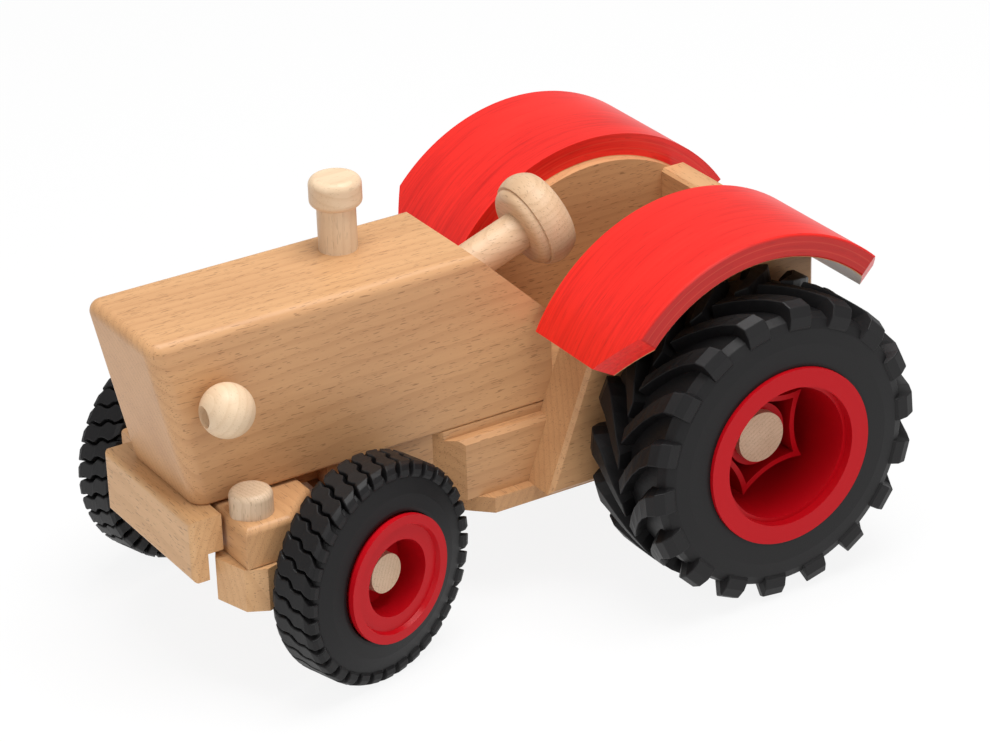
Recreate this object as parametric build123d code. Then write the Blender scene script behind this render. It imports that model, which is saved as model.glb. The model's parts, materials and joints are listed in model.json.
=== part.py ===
from build123d import *
import math
import os

os.makedirs("parts", exist_ok=True)

# Toy tractor in millimetres. The origin is on the floor under the middle of the tractor.
# +X points forwards, +Y to the tractor's left and +Z up.

# Clearances
running_gap = 0.05
free_gap = 0.3

# Rear wheels
rear_tyre_radius = 59.0
rear_axle_x = -79.15
rear_axle_radius = 9.75
rear_axle_inset = 18.75
rear_wheel_gap = 4.4
rear_tyre_width = 44.4
rear_flange_proud = 1.85
rear_flange_radius = 34.4
rear_opening_radius = 27.2
rear_tyre_crown = 4.0
rear_rim_wall = 2.6
rear_web_inset = 36.25
rear_hub_wall = 2.5
rear_lug_count = 18
rear_lug_depth = 5.0
rear_lug_width = 6.5
rear_lug_slant = 40.0
rim_lip = 1.5
dish_ledge = 1.6
ledge_depth = 3.5
web_half = 2.5
hub_reach = 12.0
hub_top = -22.0
star_count = 5
star_outer_radius = 23.5
star_inner_radius = 15.5
star_wall = 2.0
star_tip_wall = 4.5
star_depth = 20.0

# Front wheels and steering
front_tyre_radius = 41.8
front_tyre_width = 19.0
front_flange_radius = 24.1
front_opening_radius = 14.5
front_groove_radius = 19.8
front_web_height = -15.0
front_tyre_crown = 2.5
groove_depth = 1.6
flange_edge = 2.0
front_shoulder_setback = 4.4
front_axle_radius = 7.4
front_axle_recess = 7.0
front_spigot_radius = 4.0
front_wheel_back = 31.4
front_wheel_gap = 3.8
kingpin_x = 108.9
kingpin_standoff = 10.6
kingpin_radius = 7.85
kingpin_top_z = 77.9
kingpin_round = 2.4
steer_at_rest = 16.5
knuckle_top_z = 53.2
knuckle_bottom_z = 36.5
knuckle_half_width = 13.0
knuckle_nose = 12.3
knuckle_nose_half_width = 7.2
knuckle_tail = 47.0
tie_pin_back = 41.0
tie_pin_radius = 3.0
tie_rod_half_width = 5.0
tie_rod_height = 6.0
tie_pin_bottom_z = 38.0

# Bonnet
bonnet_half_width = 25.6
bonnet_bottom_z = 70.0
bonnet_top_z = 135.5
bonnet_front_top_x = 139.05
bonnet_front_bottom_x = 124.95
bonnet_rear_x = -22.45
bonnet_rear_top_x = 8.35
bonnet_slant_bottom_z = 105.1
bonnet_front_round = 5.8
bonnet_top_round = 4.0
bonnet_bottom_round = 1.2

# Front board, beam and rail
board_half_width = 33.7
board_front_x = 131.95
board_back_x = 119.65
board_lip_back_x = 125.75
board_step_z = 56.0
board_bottom_z = 45.7
beam_end_wall = 11.8
beam_back_x = 83.25
beam_front_x = 117.75
beam_top_z = 69.0
beam_corner_cut = 16.0
knuckle_gap = 0.4
rail_half_width = 23.0
rail_neck_half_width = 15.0
rail_neck_x = 71.25
rail_slot_back_x = 61.5
lap_z = 61.0
edge_round = 2.0
beam_round = 2.6

# Chassis, steps, base plate and side panels
block_front_x = 27.75
block_bottom_z = 42.5
chassis_rear_x = -125.75
step_thickness = 5.0
step_top_z = 66.5
step_cut_x = 18.25
step_chamfer = 1.7
plate_half_width = 35.0
plate_bottom_z = 36.3
plate_front_x = 18.25
plate_rear_x = -118.0
plate_corner_cut = 9.0
panel_thickness = 20.0
panel_front_bottom_x = -7.6
panel_front_slope = 0.387
panel_chamfer = 1.5
arch_x = -76.75
arch_rise = 10.2
arch_gap = 3.6

# Fenders
fender_thickness = 8.9
fender_inset = 4.5
fender_width = 53.3
fender_front_angle = 27.1
fender_rear_angle = 146.5
fender_mitre_width = 15.7
fender_front_mitre_angle = 42.1
fender_rear_mitre_angle = 132.9
fender_edge = 0.8

# Backboard
backboard_front_x = -105.75
backboard_thickness = 10.0
backboard_top_z = 122.7
backboard_chamfer = 1.2

# Exhaust
exhaust_x = 44.2
exhaust_y = -9.9
exhaust_radius = 7.15
exhaust_socket_depth = 14.0
stem_height = 17.1
cap_height = 10.9
cap_radius = 9.65
cap_top_round = 3.0
cap_bottom_round = 2.2

# Steering wheel
column_x = -2.75
column_sink = 5.0441558
column_tilt = 19.5
column_radius = 7.5
column_socket = 20.0
wheel_start = 23.7
wheel_hub_radius = 11.5
wheel_collar_radius = 15.6
wheel_collar_end = 27.2
wheel_step = 1.0
wheel_rim_radius = 18.0
wheel_shoulder_radius = 16.2
wheel_shoulder = 37.8
wheel_top_radius = 12.5
wheel_end = 39.6
wheel_socket = 10.0

# Headlights
lamp_x = 114.85
lamp_standoff = 9.0
lamp_z = 109.5
lamp_radius = 9.85
lamp_bore_radius = 4.0
lamp_bore_depth = 4.0
lamp_pin_radius = 3.0
lamp_pin_depth = 9.0

# Places that follow from the sizes above
panel_outer_y = bonnet_half_width + panel_thickness
rear_tyre_inner_y = panel_outer_y + rear_wheel_gap
rear_tyre_outer_y = rear_tyre_inner_y + rear_tyre_width
rear_flange_y = rear_tyre_outer_y + rear_flange_proud
rear_web_y = rear_flange_y - rear_web_inset
rear_axle_half_length = rear_flange_y - rear_axle_inset
front_wheel_out = knuckle_half_width + front_wheel_gap + front_tyre_width + front_shoulder_setback
beam_bottom_z = knuckle_top_z + knuckle_gap
kingpin_y = bonnet_half_width + kingpin_standoff
beam_half_length = kingpin_y + beam_end_wall
step_outer_y = bonnet_half_width + step_thickness
arch_z = rear_tyre_radius + arch_rise
arch_radius = rear_tyre_radius + arch_gap
fender_inner_y = bonnet_half_width + fender_inset
fender_outer_y = fender_inner_y + fender_width
fender_mitre_y = fender_outer_y - fender_mitre_width
cap_bottom_z = bonnet_top_z + stem_height
cap_top_z = cap_bottom_z + cap_height
bonnet_slant = (bonnet_top_z - bonnet_slant_bottom_z) / (bonnet_rear_top_x - bonnet_rear_x)
column_z = bonnet_slant_bottom_z + bonnet_slant * (column_x - bonnet_rear_x) - column_sink
lamp_y = bonnet_half_width + lamp_standoff


def box(x0, x1, y0, y1, z0, z1):
    centre = ((x0 + x1) / 2, (y0 + y1) / 2, (z0 + z1) / 2)
    return Pos(*centre) * Box(x1 - x0, y1 - y0, z1 - z0)


def side_prism(points, y0, y1):
    # An outline in X and Z, pushed from y0 to y1.
    wire = Polyline(*[(x, y0, z) for x, z in points], close=True)
    return extrude(make_face(wire), amount=y1 - y0, dir=(0, 1, 0))


def plan_prism(points, z0, z1):
    # An outline in X and Y, pushed from z0 to z1.
    wire = Polyline(*[(x, y, z0) for x, y in points], close=True)
    return extrude(make_face(wire), amount=z1 - z0, dir=(0, 0, 1))


def rod_z(x, y, radius, z0, z1):
    return Pos(x, y, (z0 + z1) / 2) * Cylinder(radius, z1 - z0)


def rod_y(x, z, radius, y0, y1):
    return Pos(x, (y0 + y1) / 2, z) * Rot(90, 0, 0) * Cylinder(radius, y1 - y0)


def turned(profile):
    # A closed outline of (radius, height) points turned about the Z axis.
    wire = Polyline(*[(r, 0, h) for r, h in profile], close=True)
    return revolve(make_face(wire), axis=Axis.Z)


def mirrored(shape):
    return mirror(shape, about=Plane.XZ)


def save(name, shape):
    solids = shape.solids()
    body = solids[0] if len(solids) == 1 else Compound(children=list(solids))
    body.label = name
    export_step(body, f"parts/{name}.step")


# Bonnet with its leaning front, slanted rear face, and the sockets for what stands in it
bonnet = side_prism(
    [
        (bonnet_rear_x, bonnet_bottom_z),
        (bonnet_front_bottom_x, bonnet_bottom_z),
        (bonnet_front_top_x, bonnet_top_z),
        (bonnet_rear_top_x, bonnet_top_z),
        (bonnet_rear_x, bonnet_slant_bottom_z),
    ],
    -bonnet_half_width,
    bonnet_half_width,
)
front_edges = bonnet.edges().filter_by(lambda e: e.center().X > bonnet_front_bottom_x + 1 and abs(e.center().Y) > 1)
front_edges = front_edges.filter_by(lambda e: e.center().Z < bonnet_top_z - 1)
bonnet = fillet(front_edges, bonnet_front_round)
top_edges = bonnet.edges().filter_by(
    lambda e: e.center().Z > bonnet_top_z - 0.01 and e.center().X > bonnet_rear_top_x + 1
)
bonnet = fillet(top_edges, bonnet_top_round)
bottom_edges = bonnet.edges().filter_by(
    lambda e: e.center().Z < bonnet_bottom_z + 0.01 and e.center().X > bonnet_rear_x + 1
)
bonnet = fillet(bottom_edges, bonnet_bottom_round)

column_frame = Pos(column_x, 0, column_z) * Rot(0, column_tilt - 90, 0)
bonnet -= column_frame * Cylinder(column_radius + running_gap, 2 * (column_socket + free_gap))
bonnet -= rod_z(
    exhaust_x, exhaust_y, exhaust_radius, bonnet_top_z - exhaust_socket_depth, bonnet_top_z + 1
)
for side in (-1, 1):
    socket_end = side * (bonnet_half_width + 1)
    socket_floor = side * (bonnet_half_width - lamp_pin_depth)
    bonnet -= rod_y(lamp_x, lamp_z, lamp_pin_radius, min(socket_end, socket_floor), max(socket_end, socket_floor))
save("bonnet", bonnet)

# Exhaust
save(
    "exhaust_stem",
    rod_z(exhaust_x, exhaust_y, exhaust_radius, bonnet_top_z - exhaust_socket_depth, cap_bottom_z),
)
cap = rod_z(exhaust_x, exhaust_y, cap_radius, cap_bottom_z, cap_top_z)
cap = fillet(cap.edges().group_by(Axis.Z)[-1], cap_top_round)
cap = fillet(cap.edges().group_by(Axis.Z)[0], cap_bottom_round)
save("exhaust_cap", cap)

# Headlights: bored beads with a flat against the bonnet, each on a dowel
lamp_bore_floor = lamp_radius - lamp_bore_depth
lamp_bore_rim = math.sqrt(lamp_radius**2 - lamp_bore_radius**2)
lamp_outline = [
    Line((0, 0, lamp_bore_floor), (lamp_bore_radius, 0, lamp_bore_floor)),
    Line((lamp_bore_radius, 0, lamp_bore_floor), (lamp_bore_radius, 0, lamp_bore_rim)),
    ThreePointArc((lamp_bore_radius, 0, lamp_bore_rim), (lamp_radius, 0, 0), (0, 0, -lamp_radius)),
    Line((0, 0, -lamp_radius), (0, 0, lamp_bore_floor)),
]
lamp = Pos(lamp_x, lamp_y, lamp_z) * Rot(0, 90, 0) * revolve(make_face(lamp_outline), axis=Axis.Z)
lamp -= box(0, 2 * lamp_x, 0, bonnet_half_width, bonnet_bottom_z, bonnet_top_z)
lamp_pin = rod_y(lamp_x, lamp_z, lamp_pin_radius, bonnet_half_width - lamp_pin_depth, lamp_y)
lamp -= lamp_pin
save("headlight_left", lamp)
save("headlight_right", mirrored(lamp))
save("headlight_pin_left", lamp_pin)
save("headlight_pin_right", mirrored(lamp_pin))

# Steering column and wheel, turned about the leaning column axis
column = column_frame * Pos(0, 0, (wheel_start + wheel_socket - column_socket) / 2) * Cylinder(
    column_radius, wheel_start + wheel_socket + column_socket
)
save("steering_column", column)
wheel_outline = [
    Line((0, 0, wheel_start), (wheel_hub_radius, 0, wheel_start)),
    ThreePointArc(
        (wheel_hub_radius, 0, wheel_start),
        (wheel_collar_radius - 1.1, 0, wheel_start + 0.9),
        (wheel_collar_radius, 0, wheel_collar_end),
    ),
    Line((wheel_collar_radius, 0, wheel_collar_end), (wheel_collar_radius + wheel_step, 0, wheel_collar_end)),
    ThreePointArc(
        (wheel_collar_radius + wheel_step, 0, wheel_collar_end),
        (wheel_rim_radius, 0, (wheel_collar_end + wheel_shoulder) / 2),
        (wheel_shoulder_radius, 0, wheel_shoulder),
    ),
    ThreePointArc(
        (wheel_shoulder_radius, 0, wheel_shoulder),
        (wheel_shoulder_radius - 1.3, 0, wheel_end - 0.5),
        (wheel_top_radius, 0, wheel_end),
    ),
    Line((wheel_top_radius, 0, wheel_end), (0, 0, wheel_end)),
    Line((0, 0, wheel_end), (0, 0, wheel_start)),
]
hand_wheel = revolve(make_face(wheel_outline), axis=Axis.Z)
hand_wheel = column_frame * hand_wheel - column
save("steering_wheel", hand_wheel)

# Front board with its lip
board = side_prism(
    [
        (board_lip_back_x, board_bottom_z),
        (board_front_x, board_bottom_z),
        (board_front_x, bonnet_bottom_z),
        (board_back_x, bonnet_bottom_z),
        (board_back_x, board_step_z),
        (board_lip_back_x, board_step_z),
    ],
    -board_half_width,
    board_half_width,
)
board = fillet(board.edges().filter_by(lambda e: e.center().X > board_front_x - 0.01), edge_round)
save("front_board", board)

# Rail under the bonnet: a wide part, then a neck that laps over the beam
rail_profile = [
    (block_front_x, beam_bottom_z),
    (rail_slot_back_x, beam_bottom_z),
    (rail_slot_back_x, lap_z),
    (board_back_x, lap_z),
    (board_back_x, bonnet_bottom_z),
    (block_front_x, bonnet_bottom_z),
]
rail = side_prism(rail_profile, -rail_half_width, rail_half_width)
for side in (-1, 1):
    inner = side * rail_neck_half_width
    outer = side * (rail_half_width + 1)
    rail -= box(rail_neck_x, board_back_x + 1, min(inner, outer), max(inner, outer), 0, bonnet_bottom_z + 1)
save("front_rail", rail)

# Cross beam with a lap for the rail, cut rear corners and two peg holes
beam = plan_prism(
    [
        (beam_front_x, -beam_half_length),
        (beam_front_x, beam_half_length),
        (beam_back_x + beam_corner_cut, beam_half_length),
        (beam_back_x, beam_half_length - beam_corner_cut),
        (beam_back_x, beam_corner_cut - beam_half_length),
        (beam_back_x + beam_corner_cut, -beam_half_length),
    ],
    beam_bottom_z,
    beam_top_z,
)
beam = fillet(beam.edges().group_by(Axis.Z)[-1], beam_round)
beam -= box(
    beam_back_x - 1,
    beam_front_x + 1,
    -rail_neck_half_width,
    rail_neck_half_width,
    lap_z,
    beam_top_z + 1,
)
for side in (-1, 1):
    beam -= rod_z(kingpin_x, side * kingpin_y, kingpin_radius, beam_bottom_z - 1, beam_top_z + 1)
save("cross_beam", beam)

# Chassis block between the side panels
step_slope = (block_front_x - step_cut_x) / (step_outer_y - rail_half_width)
block_cut_x = block_front_x - step_slope * (bonnet_half_width - rail_half_width)
block = plan_prism(
    [
        (chassis_rear_x, -bonnet_half_width),
        (block_cut_x, -bonnet_half_width),
        (block_front_x, -rail_half_width),
        (block_front_x, rail_half_width),
        (block_cut_x, bonnet_half_width),
        (chassis_rear_x, bonnet_half_width),
    ],
    block_bottom_z,
    bonnet_bottom_z,
)
block -= rod_y(
    rear_axle_x,
    rear_tyre_radius,
    rear_axle_radius + running_gap,
    -bonnet_half_width - 1,
    bonnet_half_width + 1,
)
save("chassis_block", block)

# Step blocks, each ending against the leaning front edge of a side panel
step_end_top_x = panel_front_bottom_x - panel_front_slope * (step_top_z - block_bottom_z)
step = side_prism(
    [
        (panel_front_bottom_x, block_bottom_z),
        (block_front_x, block_bottom_z),
        (block_front_x, step_top_z),
        (step_end_top_x, step_top_z),
    ],
    bonnet_half_width,
    step_outer_y,
)
step -= plan_prism(
    [
        (block_cut_x, bonnet_half_width),
        (step_cut_x, step_outer_y),
        (step_cut_x, step_outer_y + 1),
        (block_front_x + 1, step_outer_y + 1),
        (block_front_x + 1, bonnet_half_width),
    ],
    0,
    bonnet_top_z,
)
step = chamfer(
    step.edges().filter_by(lambda e: e.center().Z > step_top_z - 0.01 and e.center().Y > step_outer_y - 0.01),
    step_chamfer,
)
save("step_block_left", step)
save("step_block_right", mirrored(step))

# Base plate
plate = plan_prism(
    [
        (plate_rear_x, -plate_half_width),
        (plate_front_x - plate_corner_cut, -plate_half_width),
        (plate_front_x, plate_corner_cut - plate_half_width),
        (plate_front_x, plate_half_width - plate_corner_cut),
        (plate_front_x - plate_corner_cut, plate_half_width),
        (plate_rear_x, plate_half_width),
    ],
    plate_bottom_z,
    block_bottom_z,
)
save("base_plate", plate)

# Side panels with the arch that carries the fender
panel_top_z = arch_z + arch_radius + 1
panel = side_prism(
    [
        (chassis_rear_x, block_bottom_z),
        (panel_front_bottom_x, block_bottom_z),
        (panel_front_bottom_x - panel_front_slope * (panel_top_z - block_bottom_z), panel_top_z),
        (chassis_rear_x, panel_top_z),
    ],
    bonnet_half_width,
    panel_outer_y,
)
arch = rod_y(arch_x, arch_z, arch_radius, bonnet_half_width - 1, panel_outer_y + 1)
panel = panel & (arch + box(chassis_rear_x - 1, 0, bonnet_half_width - 1, panel_outer_y + 1, 0, arch_z))
panel = chamfer(
    panel.edges().filter_by(
        lambda e: e.center().Y > panel_outer_y - 0.01 and e.geom_type == GeomType.LINE
    ),
    panel_chamfer,
)
panel -= rod_y(
    rear_axle_x,
    rear_tyre_radius,
    rear_axle_radius + running_gap,
    bonnet_half_width - 1,
    panel_outer_y + 1,
)
save("side_panel_left", panel)
save("side_panel_right", mirrored(panel))

# Backboard between the panels
backboard = box(
    backboard_front_x - backboard_thickness,
    backboard_front_x,
    -bonnet_half_width,
    bonnet_half_width,
    bonnet_bottom_z,
    backboard_top_z,
)
backboard = chamfer(
    backboard.edges().filter_by(
        lambda e: e.center().Z > backboard_top_z - 0.01 and e.center().X > backboard_front_x - 0.01
    ),
    backboard_chamfer,
)
save("backboard", backboard)


# Fenders: bent strips over the arches with mitred outer corners
def arch_point(angle, radius):
    turn = math.radians(angle)
    return arch_x + radius * math.cos(turn), arch_z + radius * math.sin(turn)


fender_outer_radius = arch_radius + fender_thickness
middle_angle = (fender_front_angle + fender_rear_angle) / 2
fender_wire = [
    ThreePointArc(
        *[
            (arch_point(a, fender_outer_radius)[0], fender_inner_y, arch_point(a, fender_outer_radius)[1])
            for a in (fender_front_angle, middle_angle, fender_rear_angle)
        ]
    ),
    ThreePointArc(
        *[
            (arch_point(a, arch_radius)[0], fender_inner_y, arch_point(a, arch_radius)[1])
            for a in (fender_rear_angle, middle_angle, fender_front_angle)
        ]
    ),
]
for angle in (fender_rear_angle, fender_front_angle):
    ends = [arch_point(angle, r) for r in (fender_outer_radius, arch_radius)]
    fender_wire.append(Line(*[(x, fender_inner_y, z) for x, z in ends]))
fender = extrude(make_face(fender_wire), amount=fender_outer_y - fender_inner_y, dir=(0, 1, 0))
mitre_depth = fender_outer_y - fender_mitre_y
for mitre_angle, end_angle in (
    (fender_front_mitre_angle, fender_front_angle),
    (fender_rear_mitre_angle, fender_rear_angle),
):
    mitre_chord = fender_outer_radius * math.sin(math.radians(mitre_angle - end_angle))
    corner = plan_prism(
        [(0, 0), (2 * mitre_chord, -2 * mitre_depth), (2 * mitre_chord, 2 * mitre_depth), (0, 2 * mitre_depth)],
        -fender_outer_radius,
        fender_outer_radius,
    )
    corner_x, corner_z = arch_point(mitre_angle, fender_outer_radius)
    fender -= Pos(corner_x, fender_outer_y, corner_z) * Rot(0, 90 - mitre_angle, 0) * corner
fender = chamfer(
    fender.edges().filter_by(lambda e: e.geom_type == GeomType.CIRCLE and e.center().Y > fender_outer_y - 0.01),
    fender_edge,
)
save("fender_left", fender)
save("fender_right", mirrored(fender))


# Wheels, each turned about +Z at the origin with its outer flange face at height 0
def placed_wheel(shape, x, y, z):
    return Pos(x, y, z) * Rot(-90, 0, 0) * shape


def tyre_ring(radius, bore, top, bottom, crown):
    return turned(
        [
            (bore, top - crown / 2),
            (bore + crown, top),
            (radius - 2 * crown, top),
            (radius, top - crown),
            (radius, bottom + crown),
            (radius - 2 * crown, bottom),
            (bore + crown, bottom),
            (bore, bottom + crown / 2),
        ]
    )


rear_seat_radius = rear_flange_radius - rim_lip
rear_top = rear_tyre_outer_y - rear_flange_y
rear_bottom = rear_tyre_inner_y - rear_flange_y
rear_web = rear_web_y - rear_flange_y
rear_dish_radius = rear_opening_radius - dish_ledge
rear_hub_radius = rear_axle_radius + rear_hub_wall
rear_rim = turned(
    [
        (rear_axle_radius, rear_web - hub_reach),
        (rear_axle_radius, hub_top),
        (rear_hub_radius, hub_top),
        (rear_hub_radius, rear_web + web_half),
        (rear_dish_radius, rear_web + web_half),
        (rear_dish_radius, -ledge_depth),
        (rear_opening_radius, -ledge_depth),
        (rear_opening_radius, 0),
        (rear_flange_radius, 0),
        (rear_flange_radius, rear_top),
        (rear_seat_radius, rear_top),
        (rear_seat_radius, rear_bottom + rear_tyre_crown),
        (rear_seat_radius - rear_rim_wall, rear_bottom + rear_tyre_crown),
        (rear_seat_radius - rear_rim_wall, rear_web - web_half),
        (rear_hub_radius, rear_web - web_half),
        (rear_hub_radius, rear_web - hub_reach),
    ]
)
# Thin star wall with hollow sides, standing in the dish round the axle end
def star_prism(tip_radius, side_radius, z0, z1):
    sides = []
    for index in range(star_count):
        points = []
        for step in range(3):
            reach = side_radius if step == 1 else tip_radius
            star_turn = math.pi * (2 * index + step) / star_count
            points.append((reach * math.cos(star_turn), reach * math.sin(star_turn), z0))
        sides.append(ThreePointArc(*points))
    return extrude(make_face(sides), amount=z1 - z0, dir=(0, 0, 1))


star = star_prism(star_outer_radius, star_inner_radius, rear_web + web_half, -star_depth)
star -= star_prism(star_outer_radius - star_tip_wall, star_inner_radius - star_wall, rear_web, 0)
rear_rim = rear_rim + star

# Rear tyre with two rows of slanting lugs
rear_tyre = tyre_ring(
    rear_tyre_radius - rear_lug_depth, rear_seat_radius, rear_top, rear_bottom, rear_tyre_crown
)
rear_middle = (rear_top + rear_bottom) / 2
lug_root = rear_tyre_radius - rear_lug_depth - rear_tyre_crown
lug = Box(rear_tyre_radius - lug_root, rear_lug_width, (rear_top - rear_bottom) / 2 + rear_lug_width)
lug = Rot(rear_lug_slant, 0, 0) * lug
lug_radius = (rear_tyre_radius + lug_root) / 2
lugs = []
for index in range(rear_lug_count):
    for row in (-1, 1):
        turn = 360.0 * (index + (0.25 if row > 0 else -0.25)) / rear_lug_count
        height = rear_middle + row * (rear_top - rear_bottom) / 4
        leaning = lug if row > 0 else Rot(-2 * rear_lug_slant, 0, 0) * lug
        lugs.append(Rot(0, 0, turn) * Pos(lug_radius, 0, height) * leaning)
lug_envelope = turned(
    [
        (lug_root - 1, rear_bottom + 1),
        (rear_tyre_radius - rear_tyre_crown, rear_bottom),
        (rear_tyre_radius, rear_bottom + rear_tyre_crown),
        (rear_tyre_radius, rear_top - rear_tyre_crown),
        (rear_tyre_radius - rear_tyre_crown, rear_top),
        (lug_root - 1, rear_top - 1),
    ]
)
rear_tyre = rear_tyre + [piece & lug_envelope for piece in lugs]

front_seat_radius = front_flange_radius - rim_lip
front_top = -front_shoulder_setback
front_bottom = front_top - front_tyre_width
front_bore = front_axle_radius + running_gap
front_rim = turned(
    [
        (front_bore, front_bottom),
        (front_bore, front_web_height),
        (front_opening_radius, front_web_height),
        (front_opening_radius, -groove_depth),
        (front_groove_radius, -groove_depth),
        (front_groove_radius + groove_depth / 2, 0),
        (front_flange_radius, 0),
        (front_flange_radius, -flange_edge),
        (front_seat_radius, front_top),
        (front_seat_radius, front_bottom),
    ]
)
front_tyre = tyre_ring(front_tyre_radius, front_seat_radius, front_top, front_bottom, front_tyre_crown)

save("rear_axle", rod_y(rear_axle_x, rear_tyre_radius, rear_axle_radius, -rear_axle_half_length, rear_axle_half_length))
for name, shape in (("rear_rim", rear_rim), ("rear_tyre", rear_tyre)):
    placed = placed_wheel(shape, rear_axle_x, rear_flange_y, rear_tyre_radius)
    save(name + "_left", placed)
    save(name + "_right", mirrored(placed))

# Steering pieces, drawn straight ahead for the left side about the kingpin axis at the origin
knuckle_corner = knuckle_half_width - knuckle_nose_half_width
knuckle = plan_prism(
    [
        (-knuckle_tail, -knuckle_half_width),
        (knuckle_nose - knuckle_corner, -knuckle_half_width),
        (knuckle_nose, -knuckle_nose_half_width),
        (knuckle_nose, knuckle_nose_half_width),
        (knuckle_nose - knuckle_corner, knuckle_half_width),
        (-knuckle_tail, knuckle_half_width),
    ],
    knuckle_bottom_z,
    knuckle_top_z,
)
knuckle -= rod_z(0, 0, kingpin_radius + running_gap, knuckle_bottom_z - 1, knuckle_top_z + 1)
spigot = rod_y(-front_wheel_back, front_tyre_radius, front_spigot_radius, -knuckle_half_width, knuckle_half_width)
stub = rod_y(
    -front_wheel_back,
    front_tyre_radius,
    front_axle_radius,
    knuckle_half_width,
    front_wheel_out - front_axle_recess,
)
tie_rod_bottom = beam_bottom_z
tie_pin = rod_z(-tie_pin_back, 0, tie_pin_radius, tie_pin_bottom_z, tie_rod_bottom + tie_rod_height)
knuckle = knuckle - spigot - tie_pin
front_pieces = {
    "knuckle": knuckle,
    "stub_axle": stub + spigot,
    "tie_pin": tie_pin,
    "front_rim": placed_wheel(front_rim, -front_wheel_back, front_wheel_out, front_tyre_radius),
    "front_tyre": placed_wheel(front_tyre, -front_wheel_back, front_wheel_out, front_tyre_radius),
}
for name, shape in front_pieces.items():
    left = Pos(kingpin_x, kingpin_y, 0) * Rot(0, 0, steer_at_rest) * shape
    right = Pos(kingpin_x, -kingpin_y, 0) * Rot(0, 0, steer_at_rest) * mirrored(shape)
    save(name + "_left", left)
    save(name + "_right", right)

kingpin = rod_z(kingpin_x, kingpin_y, kingpin_radius, knuckle_bottom_z, kingpin_top_z)
kingpin = fillet(kingpin.edges().group_by(Axis.Z)[-1], kingpin_round)
save("kingpin_left", kingpin)
save("kingpin_right", mirrored(kingpin))

# Tie rod between the two pins behind the beam
rest_turn = math.radians(steer_at_rest)
tie_x = kingpin_x - tie_pin_back * math.cos(rest_turn)
tie_shift = -tie_pin_back * math.sin(rest_turn)
tie_rod = Pos(tie_x, tie_shift, tie_rod_bottom + tie_rod_height / 2) * extrude(
    SlotCenterToCenter(2 * kingpin_y, 2 * tie_rod_half_width, rotation=90), amount=tie_rod_height / 2, both=True
)
for side in (-1, 1):
    tie_rod -= rod_z(
        tie_x,
        tie_shift + side * kingpin_y,
        tie_pin_radius + running_gap,
        tie_rod_bottom - 1,
        tie_rod_bottom + tie_rod_height + 1,
    )
save("tie_rod", tie_rod)
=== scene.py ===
"""Looks for the wooden toy tractor: materials, treaded tyres, floor, light and camera."""
import json
import math
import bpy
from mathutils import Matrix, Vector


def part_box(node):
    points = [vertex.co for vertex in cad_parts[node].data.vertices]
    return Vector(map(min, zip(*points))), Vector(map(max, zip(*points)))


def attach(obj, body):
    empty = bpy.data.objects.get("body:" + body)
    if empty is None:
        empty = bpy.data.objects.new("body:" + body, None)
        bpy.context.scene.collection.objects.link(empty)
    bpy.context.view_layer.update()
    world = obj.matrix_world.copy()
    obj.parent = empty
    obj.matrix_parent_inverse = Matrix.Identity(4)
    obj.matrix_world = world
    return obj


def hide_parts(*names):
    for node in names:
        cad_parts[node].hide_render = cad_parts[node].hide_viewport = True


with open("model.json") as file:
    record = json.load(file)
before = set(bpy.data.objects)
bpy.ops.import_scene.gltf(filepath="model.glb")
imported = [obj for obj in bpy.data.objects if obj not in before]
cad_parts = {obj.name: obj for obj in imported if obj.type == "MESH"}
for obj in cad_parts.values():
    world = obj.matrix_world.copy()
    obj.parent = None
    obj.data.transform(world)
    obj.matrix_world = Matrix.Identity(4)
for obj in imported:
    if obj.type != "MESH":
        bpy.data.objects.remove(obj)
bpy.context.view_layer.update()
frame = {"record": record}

import bmesh
import bpy
from mathutils import Matrix, Vector

MM = 0.001

# Looks: colours are linear red, green, blue
BEECH = (0.61, 0.34, 0.16)
BEECH_DARK = (0.40, 0.19, 0.08)
BOARD = (0.66, 0.39, 0.19)
BOARD_DARK = (0.46, 0.23, 0.09)
PALE = (0.74, 0.56, 0.38)
PALE_DARK = (0.56, 0.37, 0.22)
TURNED = (0.66, 0.46, 0.29)
TURNED_DARK = (0.44, 0.25, 0.13)
STRIPED = (0.64, 0.47, 0.32)
STRIPED_DARK = (0.36, 0.22, 0.12)
STAIN = (0.82, 0.020, 0.012)
STAIN_DARK = (0.52, 0.006, 0.004)
# Darkest red: the stain's flecks, and painted shade on the fenders' outer edge faces
STAIN_FLECK_AND_EDGE_SHADE = (0.30, 0.006, 0.004)
SEAM = (0.66, 0.10, 0.05)
PLASTIC = (0.46, 0.003, 0.008)
RUBBER = (0.007, 0.0065, 0.007)
BUMP_DEPTH = 0.0002

# Tyre treads, in millimetres; lug counts are per row
REAR_TREAD = {"lugs": 18, "depth": 5.5, "width": 6.0, "slant": 21.0, "skirt": 9.0, "crown": 5.0}
FRONT_TREAD = {"lugs": 36, "depth": 3.2, "width": 5.9, "slant": 5.0, "skirt": 4.5, "crown": 2.6}

# Camera: where it looks, how far away, and its turn round, up and about its own axis
TARGET = Vector((-13.41, 0.0, 73.38)) * MM
DISTANCE = 1377.5 * MM
AZIMUTH = math.radians(59.185)
ELEVATION = math.radians(26.521)
ROLL = math.radians(-2.044)
LENS = 135.07


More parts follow.
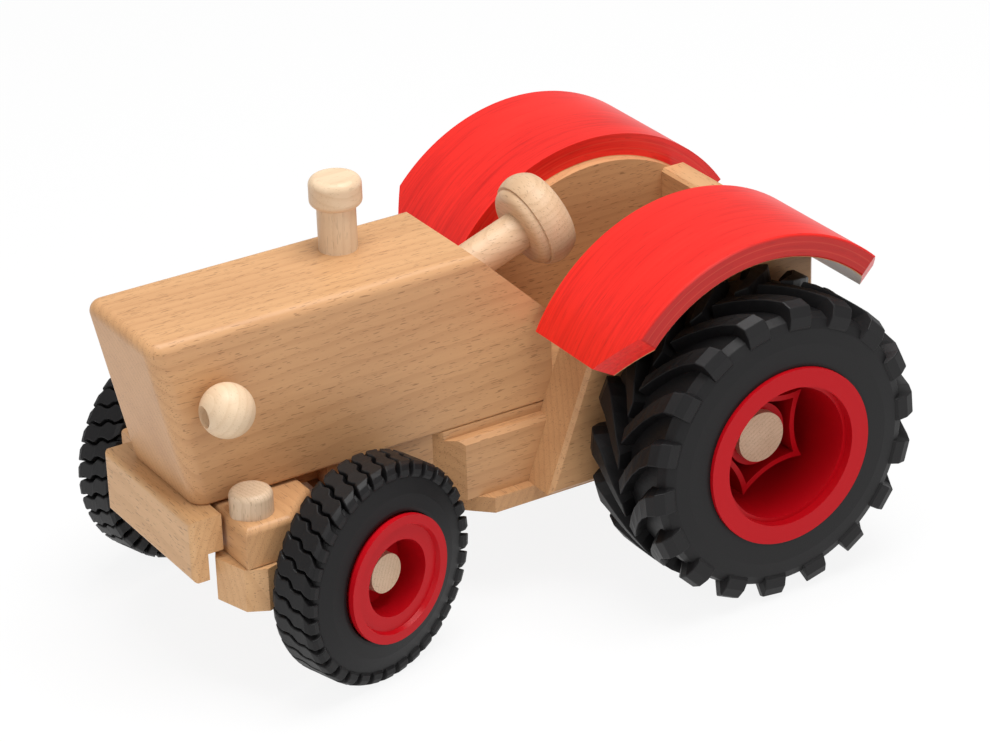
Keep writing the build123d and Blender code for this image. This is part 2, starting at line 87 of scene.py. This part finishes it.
# ---------------------------------------------------------------- shader helpers
class Nodes:
    """A material under construction, with short names for the nodes used again and again."""

    def __init__(self, name):
        self.material = bpy.data.materials.new(name)
        self.material.use_nodes = True
        self.tree = self.material.node_tree
        self.shader = self.tree.nodes["Principled BSDF"]

    def add(self, kind, **settings):
        node = self.tree.nodes.new(kind)
        for key, value in settings.items():
            setattr(node, key, value)
        return node

    def feed(self, socket, value):
        if isinstance(value, bpy.types.NodeSocket):
            self.tree.links.new(value, socket)
        else:
            socket.default_value = value

    def math(self, operation, first, second=0.0, third=0.0):
        node = self.add("ShaderNodeMath", operation=operation)
        for socket, value in zip(node.inputs, (first, second, third)):
            self.feed(socket, value)
        return node.outputs[0]

    def span(self, value, low, high, start=0.0, end=1.0):
        node = self.add("ShaderNodeMapRange", interpolation_type="SMOOTHSTEP")
        for socket, number in zip(node.inputs, (value, low, high, start, end)):
            self.feed(socket, number)
        return node.outputs[0]

    def mix(self, factor, first, second):
        node = self.add("ShaderNodeMix", data_type="RGBA")
        self.feed(node.inputs[0], factor)
        for socket, value in ((node.inputs[6], first), (node.inputs[7], second)):
            self.feed(socket, (*value, 1.0) if isinstance(value, tuple) else value)
        return node.outputs[2]

    def place(self):
        return self.add("ShaderNodeTexCoord").outputs["Object"]

    def axes(self):
        split = self.add("ShaderNodeSeparateXYZ")
        self.feed(split.inputs[0], self.place())
        return split.outputs

    def vector(self, x, y, z):
        node = self.add("ShaderNodeCombineXYZ")
        for socket, value in zip(node.inputs, (x, y, z)):
            self.feed(socket, value)
        return node.outputs[0]

    def noise(self, vector, scale=1.0, detail=2.0, roughness=0.5):
        node = self.add("ShaderNodeTexNoise")
        self.feed(node.inputs["Vector"], vector)
        node.inputs["Scale"].default_value = scale
        node.inputs["Detail"].default_value = detail
        node.inputs["Roughness"].default_value = roughness
        return node.outputs[0]

    def bump(self, height, strength, distance):
        node = self.add("ShaderNodeBump")
        node.inputs["Strength"].default_value = strength
        node.inputs["Distance"].default_value = distance
        self.feed(node.inputs["Height"], height)
        self.feed(self.shader.inputs["Normal"], node.outputs[0])

    def colour(self, value):
        self.feed(self.shader.inputs["Base Color"], (*value, 1.0) if isinstance(value, tuple) else value)


def solid_wood(name, light, dark, along, seed, fleck=0.6, ring_gap=3.2, tilt=0.35, roughness=0.42):
    """Wood cut from a log whose grain runs along one axis: rings, fine pores and short dark flecks."""
    build = Nodes(name)
    axes = build.axes()
    order = {"X": (0, 1, 2), "Y": (1, 0, 2), "Z": (2, 0, 1)}[along]
    length, across, height = (build.math("ADD", axes[i], 0.013 * seed) for i in order)
    slow = build.noise(build.vector(build.math("MULTIPLY", length, 4.0), across, height), 18.0 + seed, 2.0)
    # Distance from a pith line outside the piece gives growth rings that bend on the ends
    pith_a = build.math("ADD", across, 0.055 + 0.02 * math.sin(seed))
    pith_b = build.math("ADD", height, -0.02 + 0.03 * math.cos(3.0 * seed))
    pith_a = build.math("MULTIPLY_ADD", length, tilt * 0.1, pith_a)
    reach = build.math(
        "SQRT",
        build.math("ADD", build.math("MULTIPLY", pith_a, pith_a), build.math("MULTIPLY", pith_b, pith_b)),
    )
    reach = build.math("MULTIPLY_ADD", slow, 0.0015, reach)
    ring = build.math("FRACT", build.math("MULTIPLY", reach, 1000.0 / ring_gap))
    ring = build.span(ring, 0.45, 1.0, 0.0, 0.22)
    # Fine fibres and broad patches along the grain
    fibre = build.noise(
        build.vector(
            build.math("MULTIPLY", length, 30.0),
            build.math("MULTIPLY", across, 900.0),
            build.math("MULTIPLY", height, 900.0),
        ),
        1.0,
        3.0,
        0.6,
    )
    patch = build.noise(
        build.vector(
            build.math("MULTIPLY", length, 9.0),
            build.math("MULTIPLY", across, 70.0),
            build.math("MULTIPLY", height, 70.0),
        ),
        1.0,
        2.0,
    )
    tone = build.math("ADD", ring, build.span(patch, 0.3, 0.75, 0.0, 0.28))
    tone = build.math("MULTIPLY_ADD", fibre, 0.35, tone)
    tone = build.math("SUBTRACT", tone, 0.12)
    base = build.mix(build.math("MINIMUM", build.math("MAXIMUM", tone, 0.0), 0.85), light, dark)
    # Short dark flecks lying along the grain
    marks = build.noise(
        build.vector(
            build.math("MULTIPLY", length, 260.0),
            build.math("MULTIPLY", across, 2300.0),
            build.math("MULTIPLY", height, 2300.0),
        ),
        1.0,
        1.0,
        0.4,
    )
    marks = build.span(marks, 0.635, 0.70, 0.0, fleck)
    deep = tuple(0.55 * channel for channel in dark)
    build.colour(build.mix(marks, base, deep))
    build.shader.inputs["Roughness"].default_value = roughness
    build.shader.inputs["Specular IOR Level"].default_value = 0.35
    build.bump(build.math("ADD", fibre, build.math("MULTIPLY", marks, -0.8)), 0.12, BUMP_DEPTH)
    return build.material


def stained_ply(name, centre_x, centre_z, inner, outer, side):
    """Bent plywood: red stain outside, layered edges with painted shade on the outer edge face, natural wood
    under the arch.
    """
    build = Nodes(name)
    axes = build.axes()
    along = build.math("SUBTRACT", axes[0], centre_x)
    above = build.math("SUBTRACT", axes[2], centre_z)
    radius = build.math(
        "SQRT",
        build.math("ADD", build.math("MULTIPLY", along, along), build.math("MULTIPLY", above, above)),
    )
    angle = build.math("ARCTAN2", above, along)
    streak = build.noise(
        build.vector(
            build.math("MULTIPLY", angle, 2.4),
            build.math("MULTIPLY", axes[1], 800.0),
            build.math("MULTIPLY", radius, 800.0),
        ),
        1.0,
        4.0,
        0.65,
    )
    patch = build.noise(
        build.vector(build.math("MULTIPLY", angle, 0.9), build.math("MULTIPLY", axes[1], 60.0), radius),
        1.0,
        2.0,
    )
    flecks = build.noise(
        build.vector(
            build.math("MULTIPLY", angle, 12.0),
            build.math("MULTIPLY", axes[1], 1300.0),
            build.math("MULTIPLY", radius, 1300.0),
        ),
        1.0,
        1.0,
    )
    tone = build.math("ADD", build.span(streak, 0.35, 0.75, 0.0, 0.55), build.span(patch, 0.3, 0.8, 0.0, 0.4))
    stain = build.mix(tone, STAIN, STAIN_DARK)
    stain = build.mix(build.span(flecks, 0.64, 0.72, 0.0, 0.25), stain, STAIN_FLECK_AND_EDGE_SHADE)
    # Painted shade darkens the outer edge face, and the edge faces show the two glue lines between the three
    # layers
    side_y = build.math("ABSOLUTE", axes[1])
    stain = build.mix(build.span(side_y, 0.9904 * side, 0.9995 * side, 0.0, 0.6), stain, STAIN_FLECK_AND_EDGE_SHADE)
    layer = build.math("DIVIDE", build.math("SUBTRACT", radius, inner), (outer - inner) / 3)
    from_seam = build.math("ABSOLUTE", build.math("SUBTRACT", layer, 1.5))
    from_seam = build.math("ABSOLUTE", build.math("SUBTRACT", from_seam, 0.5))
    stain = build.mix(build.span(from_seam, 0.02, 0.10, 0.28, 0.0), stain, SEAM)
    bare = build.span(radius, inner + 0.00012, inner + 0.0004, 1.0, 0.0)
    natural = build.mix(build.span(streak, 0.35, 0.75), BEECH, BEECH_DARK)
    build.colour(build.mix(bare, stain, natural))
    build.shader.inputs["Roughness"].default_value = 0.38
    build.shader.inputs["Specular IOR Level"].default_value = 0.35
    build.bump(streak, 0.1, BUMP_DEPTH)
    return build.material


def moulded(name, base, roughness, specular, grain, strength):
    build = Nodes(name)
    build.colour(base)
    build.shader.inputs["Specular IOR Level"].default_value = specular
    build.shader.inputs["Roughness"].default_value = roughness
    build.bump(build.noise(build.place(), grain, 3.0, 0.6), strength, BUMP_DEPTH)
    return build.material


# ---------------------------------------------------------------- finishes of the CAD pieces
GRAIN = {
    "bonnet": "X",
    "chassis_block": "X",
    "front_rail": "X",
    "cross_beam": "Y",
    "base_plate": "Y",
    "step_block_left": "X",
    "step_block_right": "X",
    "side_panel_left": "X",
    "side_panel_right": "X",
    "backboard": "Y",
    "tie_rod": "Y",
}
BOARD_GRAIN = {
    "front_board": "Y",
    "knuckle_left": "X",
    "knuckle_right": "X",
}
PALE_GRAIN = {
    "exhaust_stem": "Z",
    "exhaust_cap": "X",
    "headlight_left": "Y",
    "headlight_right": "Y",
    "headlight_pin_left": "Y",
    "headlight_pin_right": "Y",
}
TURNED_GRAIN = {
    "steering_column": "X",
    "steering_wheel": "Y",
}
STRIPED_GRAIN = {
    "kingpin_left": "Z",
    "kingpin_right": "Z",
    "stub_axle_left": "Y",
    "stub_axle_right": "Y",
    "tie_pin_left": "Z",
    "tie_pin_right": "Z",
    "rear_axle": "Y",
}


def finish(node, material):
    mesh = bpy.data.objects[node]
    if not mesh.material_slots:
        mesh.data.materials.append(material)
    for slot in mesh.material_slots:
        slot.material = material


for seed, (node, along) in enumerate(GRAIN.items()):
    finish(node, solid_wood("beech " + node, BEECH, BEECH_DARK, along, seed + 1))
for seed, (node, along) in enumerate(BOARD_GRAIN.items()):
    finish(node, solid_wood("board " + node, BOARD, BOARD_DARK, along, seed + 2))
for seed, (node, along) in enumerate(PALE_GRAIN.items()):
    finish(node, solid_wood("pale " + node, PALE, PALE_DARK, along, seed + 3, fleck=0.25))
for seed, (node, along) in enumerate(TURNED_GRAIN.items()):
    finish(node, solid_wood("turned " + node, TURNED, TURNED_DARK, along, seed + 4, 0.5, 2.2))
for seed, (node, along) in enumerate(STRIPED_GRAIN.items()):
    finish(node, solid_wood("dowel " + node, STRIPED, STRIPED_DARK, along, seed + 5, 0.5, 1.6))

# The arch's axis, and the fender's outer radius from the top of its box
high = Vector(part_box("fender_left")[1])
ARCH_X = -76.75 * MM
ARCH_Z = 69.2 * MM
FENDER_OUTER = high.z - ARCH_Z
FENDER_THICKNESS = 8.9 * MM
ply = stained_ply(
    "red stained plywood", ARCH_X, ARCH_Z, FENDER_OUTER - FENDER_THICKNESS, FENDER_OUTER, high.y
)
plastic = moulded("red plastic", PLASTIC, 0.32, 0.14, 900.0, 0.02)
rubber = moulded("black rubber", RUBBER, 0.5, 0.28, 1800.0, 0.25)
for node in ("fender_left", "fender_right"):
    finish(node, ply)
for node in ("front_rim_left", "front_rim_right", "rear_rim_left", "rear_rim_right"):
    finish(node, plastic)


# ---------------------------------------------------------------- tyres
def lathe(profile, steps, closed):
    """Vertices and faces of a ring profile of (radius, height) points turned about Z."""
    count = len(profile)
    points = []
    for step in range(steps):
        turn = 2 * math.pi * step / steps
        points += [(r * math.cos(turn), r * math.sin(turn), h) for r, h in profile]
    faces = []
    for step in range(steps):
        here, there = step * count, ((step + 1) % steps) * count
        for index in range(count if closed else count - 1):
            after = (index + 1) % count
            faces.append((here + index, there + index, there + after, here + after))
    return points, faces


def over_tread(radius, top, bottom, crown, skirt, sink):
    """The path a lug's top follows: up one side wall, over the crown and down the other."""
    radius, top, bottom = radius - sink, top - sink * 0.6, bottom + sink * 0.6
    path = [(radius - skirt, top), (radius - crown, top), (radius - 0.3 * crown, top - 0.3 * crown)]
    path += [(radius, top - crown)]
    flat_steps = 8
    for step in range(1, flat_steps):
        path.append((radius, top - crown + (bottom - top + 2 * crown) * step / flat_steps))
    path += [(radius, bottom + crown), (radius - 0.3 * crown, bottom + 0.3 * crown)]
    path += [(radius - crown, bottom), (radius - skirt, bottom)]
    return path


def bar(outside, inside, turns, widths):
    """One lug: a strip along the outside path, its foot on the inside path, closed at both ends."""
    points, faces = [], []
    for (r, h), (low_r, low_h), turn, width in zip(outside, inside, turns, widths):
        half, foot = width / 2 / r, width * 0.675 / r
        for radius, height, offset in (
            (low_r, low_h, -foot),
            (r, h, -half),
            (r, h, half),
            (low_r, low_h, foot),
        ):
            points.append((radius * math.cos(turn + offset), radius * math.sin(turn + offset), height))
    for index in range(len(outside) - 1):
        base = 4 * index
        for side in range(4):
            after = (side + 1) % 4
            faces.append((base + side, base + after, base + 4 + after, base + 4 + side))
    last = 4 * (len(outside) - 1)
    faces += [(3, 2, 1, 0), (last, last + 1, last + 2, last + 3)]
    return points, faces


def tread_lugs(radius, top, bottom, tread, rows, hand):
    """All lugs of a tyre, as points and faces; hand mirrors the pattern for the right side."""
    points, faces = [], []
    outside = over_tread(radius, top, bottom, tread["crown"], tread["skirt"], 0.0)
    inside = over_tread(radius, top, bottom, tread["crown"], tread["skirt"], tread["depth"] + 0.6)
    middle = (top + bottom) / 2
    span = (top - bottom) / 2
    pitch = 360.0 / tread["lugs"]
    for lug in range(tread["lugs"]):
        for row in rows:
            turns, widths, keep = [], [], []
            for index, (r, h) in enumerate(outside):
                reach = (h - middle) / span
                if row * reach < -0.08:
                    continue
                keep.append(index)
                if row == 0:
                    # A full-width bar with a zigzag, pinched at the middle
                    lean = tread["slant"] * reach + 1.1 * math.sin(2.6 * math.pi * reach)
                    narrow = 0.75 if abs(reach) < 0.05 or abs(reach) > 0.85 else 1.0
                    widths.append(tread["width"] * narrow)
                else:
                    # Half a chevron: the middle leads and the shoulder trails and widens
                    lean = -tread["slant"] * math.sin(min(1.0, abs(reach)) * math.pi / 2)
                    widths.append(tread["width"] * (1.0 + 0.5 * min(1.0, abs(reach))))
                start = pitch * (lug + 0.25 * row)
                turns.append(math.radians(start + lean) * hand)
            chosen_out = [outside[i] for i in keep]
            chosen_in = [inside[i] for i in keep]
            more, sides = bar(chosen_out, chosen_in, turns, widths)
            offset = len(points)
            points += more
            faces += [tuple(offset + i for i in face) for face in sides]
    return points, faces


WHEELS = {
    "rear": {
        "radius": 59.0,
        "bore": 32.9,
        "top": -1.85,
        "bottom": -46.25,
        "rise": 0.8,
        "tread": REAR_TREAD,
        "rows": (-1, 1),
    },
    "front": {
        "radius": 41.8,
        "bore": 22.6,
        "top": -4.4,
        "bottom": -23.4,
        "rise": 2.0,
        "tread": FRONT_TREAD,
        "rows": (0,),
    },
}
RING_STEPS = 144


def carcass(wheel):
    """The tyre's body under the lugs, with side walls that bulge a little."""
    tread = wheel["tread"]
    radius = wheel["radius"] - tread["depth"]
    top, bottom, bore = wheel["top"] - 0.5, wheel["bottom"] + 0.5, wheel["bore"]
    crown = tread["crown"]
    belly = (radius + bore) / 2
    rise = wheel["rise"]
    profile = [
        (bore, top - 1.2),
        (bore + 0.6, top + 0.1),
        (bore + 1.7, top + rise),
        (bore + 3.2, top + rise + 0.1),
        (belly, top + 0.6 * rise + 0.2),
        (radius - crown, top),
        (radius - 0.3 * crown, top - 0.3 * crown),
        (radius, top - crown),
    ]
    lower = [(r, top + bottom - h) for r, h in reversed(profile)]
    return lathe([*profile, *lower], RING_STEPS, True)


JOINTS = {joint["name"]: joint for joint in frame["record"]["behaviour"]["joints"]}


def wheel_place(joint, rim, side):
    """Turns a wheel drawn about +Z, outer face at height 0, to where the CAD rim is."""
    origin = Vector(JOINTS[joint]["pos_m"])
    outward = Vector(JOINTS[joint]["axis"]).normalized() * side
    corners = bpy.data.objects[rim].data.vertices
    reach = max((corner.co - origin).dot(outward) for corner in corners)
    down = Vector((0, 0, -side))
    forward = down.cross(outward)
    place = Matrix((forward, down, outward)).transposed().to_4x4()
    return Matrix.Translation(origin + outward * reach) @ place


def tyre(kind, side, joint, body):
    wheel = WHEELS[kind]
    name = f"{kind}_tyre_" + ("left" if side > 0 else "right")
    rim = name.replace("tyre", "rim")
    points, faces = carcass(wheel)
    more, sides = tread_lugs(
        wheel["radius"], wheel["top"], wheel["bottom"], wheel["tread"], wheel["rows"], side
    )
    offset = len(points)
    points = [Vector(point) * MM for point in points + more]
    faces += [tuple(offset + index for index in face) for face in sides]
    mesh = bpy.data.meshes.new(name + "_treaded")
    place = wheel_place(joint, rim, side)
    mesh.from_pydata([place @ point for point in points], [], faces)
    work = bmesh.new()
    work.from_mesh(mesh)
    bmesh.ops.recalc_face_normals(work, faces=work.faces)
    work.to_mesh(mesh)
    work.free()
    piece = bpy.data.objects.new(name + "_treaded", mesh)
    bpy.context.scene.collection.objects.link(piece)
    edge = piece.modifiers.new("edges", "BEVEL")
    edge.width = 0.35 * MM
    edge.segments = 2
    edge.limit_method = "ANGLE"
    edge.angle_limit = math.radians(35)
    mesh.materials.append(rubber)
    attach(piece, body)
    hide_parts(name)
    for polygon in mesh.polygons:
        polygon.use_smooth = False


tyre("rear", 1, "rear_spin", "rear_wheels")
tyre("rear", -1, "rear_spin", "rear_wheels")
tyre("front", 1, "front_spin_left", "front_wheel_left")
tyre("front", -1, "front_spin_right", "front_wheel_right")

# ---------------------------------------------------------------- studio
FLOOR_SIZE = 6.0
WHITE = (1.0, 1.0, 1.0)


def seen_white(build, shaded, shadow_share):
    """White to the eye and in reflections, with a share of the real surface for the shadow."""
    rays = build.add("ShaderNodeLightPath").outputs
    seen = build.math("MAXIMUM", rays["Is Camera Ray"], rays["Is Glossy Ray"])
    seen = build.math("MAXIMUM", seen, rays["Is Transmission Ray"])
    glow = build.add("ShaderNodeEmission")
    glow.inputs[0].default_value = (*WHITE, 1.0)
    glow.inputs[1].default_value = 1.0
    mix = build.add("ShaderNodeMixShader")
    build.feed(mix.inputs[0], build.math("MULTIPLY", seen, 1.0 - shadow_share))
    build.feed(mix.inputs[1], shaded)
    build.feed(mix.inputs[2], glow.outputs[0])
    return mix.outputs[0]


bpy.ops.mesh.primitive_plane_add(size=FLOOR_SIZE)
floor = bpy.context.object
floor.name = "studio_floor"
build = Nodes("pale floor")
build.colour((0.86, 0.86, 0.86))
build.shader.inputs["Roughness"].default_value = 0.9
build.shader.inputs["Specular IOR Level"].default_value = 0.0
outlet = build.tree.nodes["Material Output"]
build.feed(outlet.inputs[0], seen_white(build, build.shader.outputs[0], 0.12))
floor.data.materials.append(build.material)

world = bpy.data.worlds.new("studio")
bpy.context.scene.world = world
world.use_nodes = True
sky = world.node_tree
background = sky.nodes["Background"]
rays = sky.nodes.new("ShaderNodeLightPath")
strength = sky.nodes.new("ShaderNodeMix")
sky.links.new(rays.outputs["Is Camera Ray"], strength.inputs[0])
WORLD_LIGHT = 0.35
strength.inputs[2].default_value = WORLD_LIGHT
strength.inputs[3].default_value = 1.0
sky.links.new(strength.outputs[0], background.inputs[1])
background.inputs[0].default_value = (*WHITE, 1.0)


def soft_box(name, place, aim, size, power):
    lamp = bpy.data.lights.new(name, "AREA")
    lamp.shape = "SQUARE"
    lamp.size = size
    lamp.energy = power
    holder = bpy.data.objects.new(name, lamp)
    holder.location = place
    holder.rotation_euler = (Vector(aim) - Vector(place)).to_track_quat("-Z", "Y").to_euler()
    bpy.context.scene.collection.objects.link(holder)


soft_box("overhead", (-0.1, 0.15, 1.3), (0.0, 0.0, 0.05), 0.9, 18.0)
soft_box("front_fill", (1.0, 0.35, 0.7), (0.05, 0.0, 0.05), 0.7, 2.7)
soft_box("side_fill", (-0.3, 1.2, 0.6), (-0.05, 0.0, 0.05), 0.7, 2.8)

# ---------------------------------------------------------------- camera
back = Vector(
    (
        math.cos(AZIMUTH) * math.cos(ELEVATION),
        math.sin(AZIMUTH) * math.cos(ELEVATION),
        math.sin(ELEVATION),
    )
)
right = (-back).cross(Vector((0, 0, 1))).normalized()
up = right.cross(-back)
tilted_right = math.cos(ROLL) * right + math.sin(ROLL) * up
tilted_up = math.cos(ROLL) * up - math.sin(ROLL) * right
lens = bpy.data.cameras.new("camera")
lens.lens = LENS
lens.sensor_width = 36.0
lens.clip_start = 0.05
lens.clip_end = 20.0
camera = bpy.data.objects.new("camera", lens)
camera.matrix_world = Matrix.Translation(TARGET + back * DISTANCE) @ (
    Matrix((tilted_right, tilted_up, back)).transposed().to_4x4()
)
bpy.context.scene.collection.objects.link(camera)
bpy.context.scene.camera = camera
bpy.context.scene.view_settings.view_transform = "Standard"
